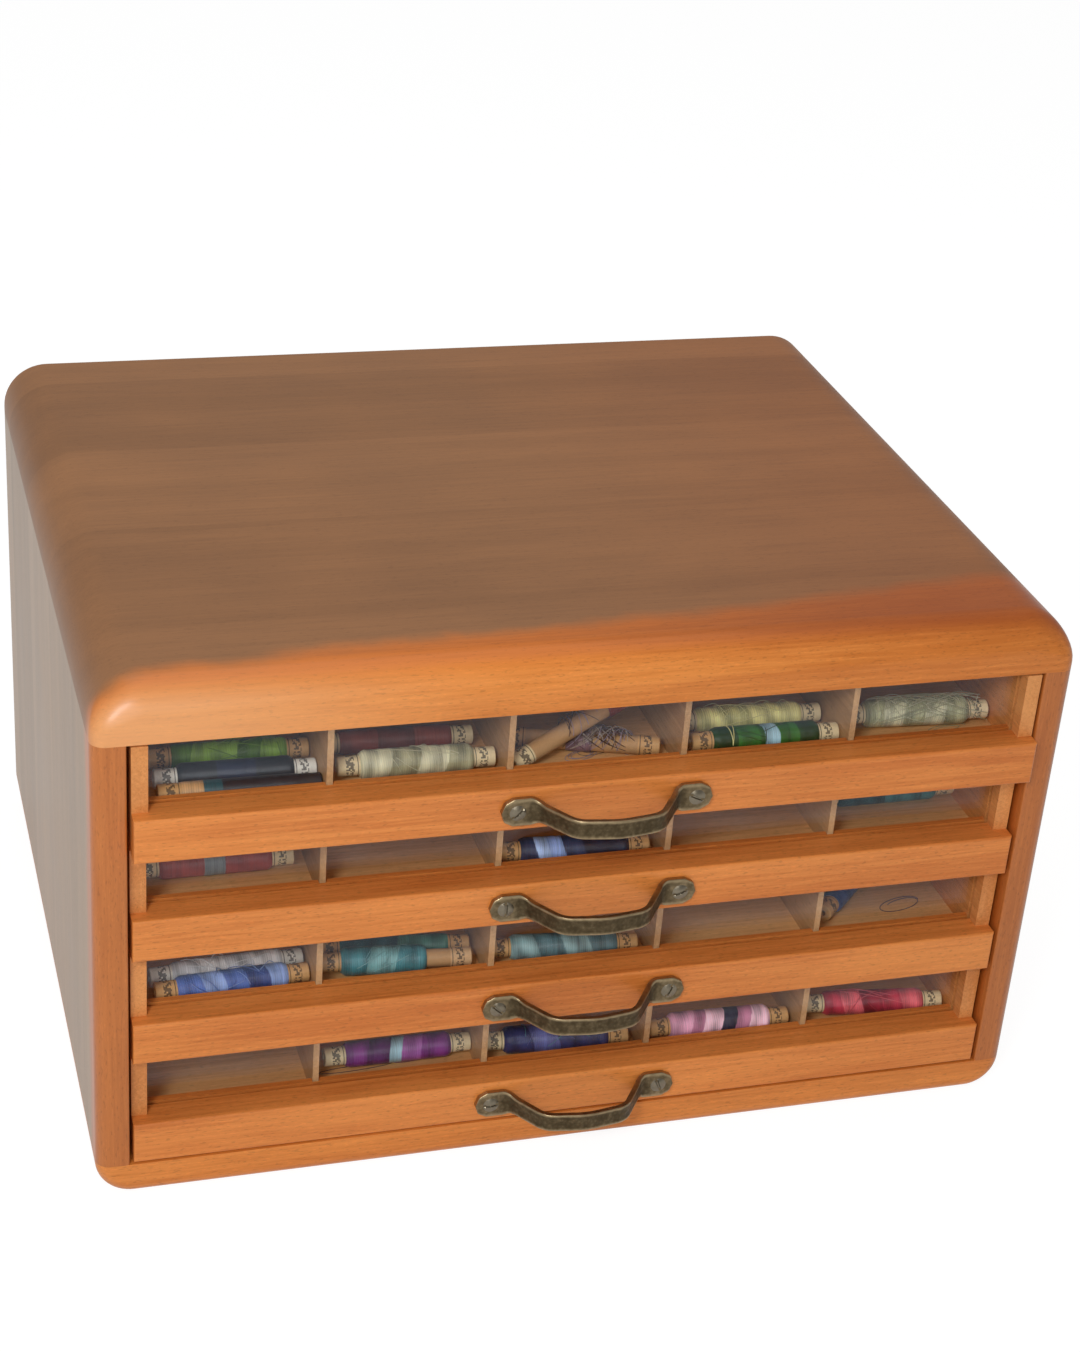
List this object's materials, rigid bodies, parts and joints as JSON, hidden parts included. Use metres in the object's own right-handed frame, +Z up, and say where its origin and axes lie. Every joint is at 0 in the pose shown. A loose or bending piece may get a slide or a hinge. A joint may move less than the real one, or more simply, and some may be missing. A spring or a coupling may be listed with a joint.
{
  "type": "sewing thread drawer cabinet",
  "caption": "Tabletop wooden case with shallow glass-fronted drawers, each divided into compartments for spools of sewing thread, and pulled by a bow handle.",
  "frame": {"origin": "middle of the case's underside", "axes": "+Z up, -Y towards the drawer fronts, +X to the viewer's right"},
  "size_m": [0.38, 0.3264, 0.2234],
  "materials": {
    "case_beech": "lacquered beech, honey brown",
    "drawer_beech": "lacquered beech, honey orange",
    "drawer_side_beech": "thinly lacquered beech",
    "runner_beech": "bare beech",
    "plywood": "bare plywood, darkened by age",
    "divider_wood": "bare thin board",
    "glass": "clear",
    "antique_brass": "antiqued, pebbled casting",
    "screw_brass": "antiqued",
    "screw_steel": "dull",
    "spool_paper": "card tube with paper ends",
    "thread": "silky thread"
  },
  "bodies": {
    "case": {"top_board": "case_beech", "bottom_board": "case_beech", "left_side": "case_beech", "right_side": "case_beech", "back_panel": "plywood", "back_panel_screws": "screw_steel", "case_dowels": "runner_beech", "drawer_1_runners": "runner_beech", "drawer_2_runners": "runner_beech", "drawer_3_runners": "runner_beech", "drawer_4_runners": "runner_beech"},
    "drawer_1": {"drawer_1_front_rail": "drawer_beech", "drawer_1_glass": "glass", "drawer_1_left_side": "drawer_side_beech", "drawer_1_right_side": "drawer_side_beech", "drawer_1_back": "drawer_side_beech", "drawer_1_floor": "plywood", "drawer_1_dividers": "divider_wood", "drawer_1_handle": "antique_brass", "drawer_1_handle_screws": "screw_brass", "drawer_1_spool_cores": "spool_paper", "drawer_1_thread": "thread"},
    "drawer_2": {"drawer_2_front_rail": "drawer_beech", "drawer_2_glass": "glass", "drawer_2_left_side": "drawer_side_beech", "drawer_2_right_side": "drawer_side_beech", "drawer_2_back": "drawer_side_beech", "drawer_2_floor": "plywood", "drawer_2_dividers": "divider_wood", "drawer_2_handle": "antique_brass", "drawer_2_handle_screws": "screw_brass", "drawer_2_spool_cores": "spool_paper", "drawer_2_thread": "thread"},
    "drawer_3": {"drawer_3_front_rail": "drawer_beech", "drawer_3_glass": "glass", "drawer_3_left_side": "drawer_side_beech", "drawer_3_right_side": "drawer_side_beech", "drawer_3_back": "drawer_side_beech", "drawer_3_floor": "plywood", "drawer_3_dividers": "divider_wood", "drawer_3_handle": "antique_brass", "drawer_3_handle_screws": "screw_brass", "drawer_3_spool_cores": "spool_paper", "drawer_3_thread": "thread"},
    "drawer_4": {"drawer_4_front_rail": "drawer_beech", "drawer_4_glass": "glass", "drawer_4_left_side": "drawer_side_beech", "drawer_4_right_side": "drawer_side_beech", "drawer_4_back": "drawer_side_beech", "drawer_4_floor": "plywood", "drawer_4_dividers": "divider_wood", "drawer_4_handle": "antique_brass", "drawer_4_handle_screws": "screw_brass", "drawer_4_spool_cores": "spool_paper", "drawer_4_thread": "thread"}
  },
  "joints": [
    {"name": "drawer_1_slide", "type": "slide", "parent": "case", "child": "drawer_1", "axis": [0, -1, 0], "range_m": [-0.006, 0.218]},
    {"name": "drawer_2_slide", "type": "slide", "parent": "case", "child": "drawer_2", "axis": [0, -1, 0], "range_m": [0, 0.224]},
    {"name": "drawer_3_slide", "type": "slide", "parent": "case", "child": "drawer_3", "axis": [0, -1, 0], "range_m": [0, 0.224]},
    {"name": "drawer_4_slide", "type": "slide", "parent": "case", "child": "drawer_4", "axis": [0, -1, 0], "range_m": [0, 0.224]}
  ]
}
